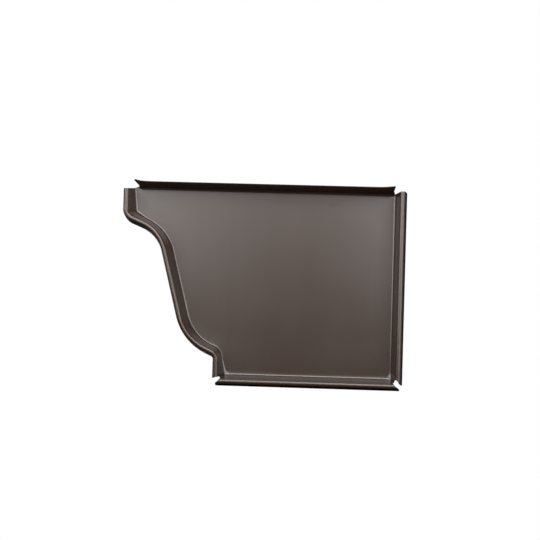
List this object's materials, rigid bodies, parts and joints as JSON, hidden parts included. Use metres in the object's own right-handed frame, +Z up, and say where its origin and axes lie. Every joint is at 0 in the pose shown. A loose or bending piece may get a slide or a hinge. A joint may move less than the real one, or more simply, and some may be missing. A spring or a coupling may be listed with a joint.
{
  "type": "gutter end cap",
  "caption": "Recessed sheet-metal cap that closes the end of an ogee gutter: a folded rim grips the gutter's front, bottom and back, and a plain flange runs along the top.",
  "frame": {"origin": "middle of the panel's width and height, on the face that is turned to the gutter", "axes": "+X from the gutter's front to its back, +Y along the gutter and into it, +Z up as installed"},
  "size_m": [0.131, 0.0108, 0.0936],
  "materials": {
    "painted_sheet": "satin"
  },
  "bodies": {
    "root": {"end_cap": "painted_sheet"}
  },
  "joints": []
}
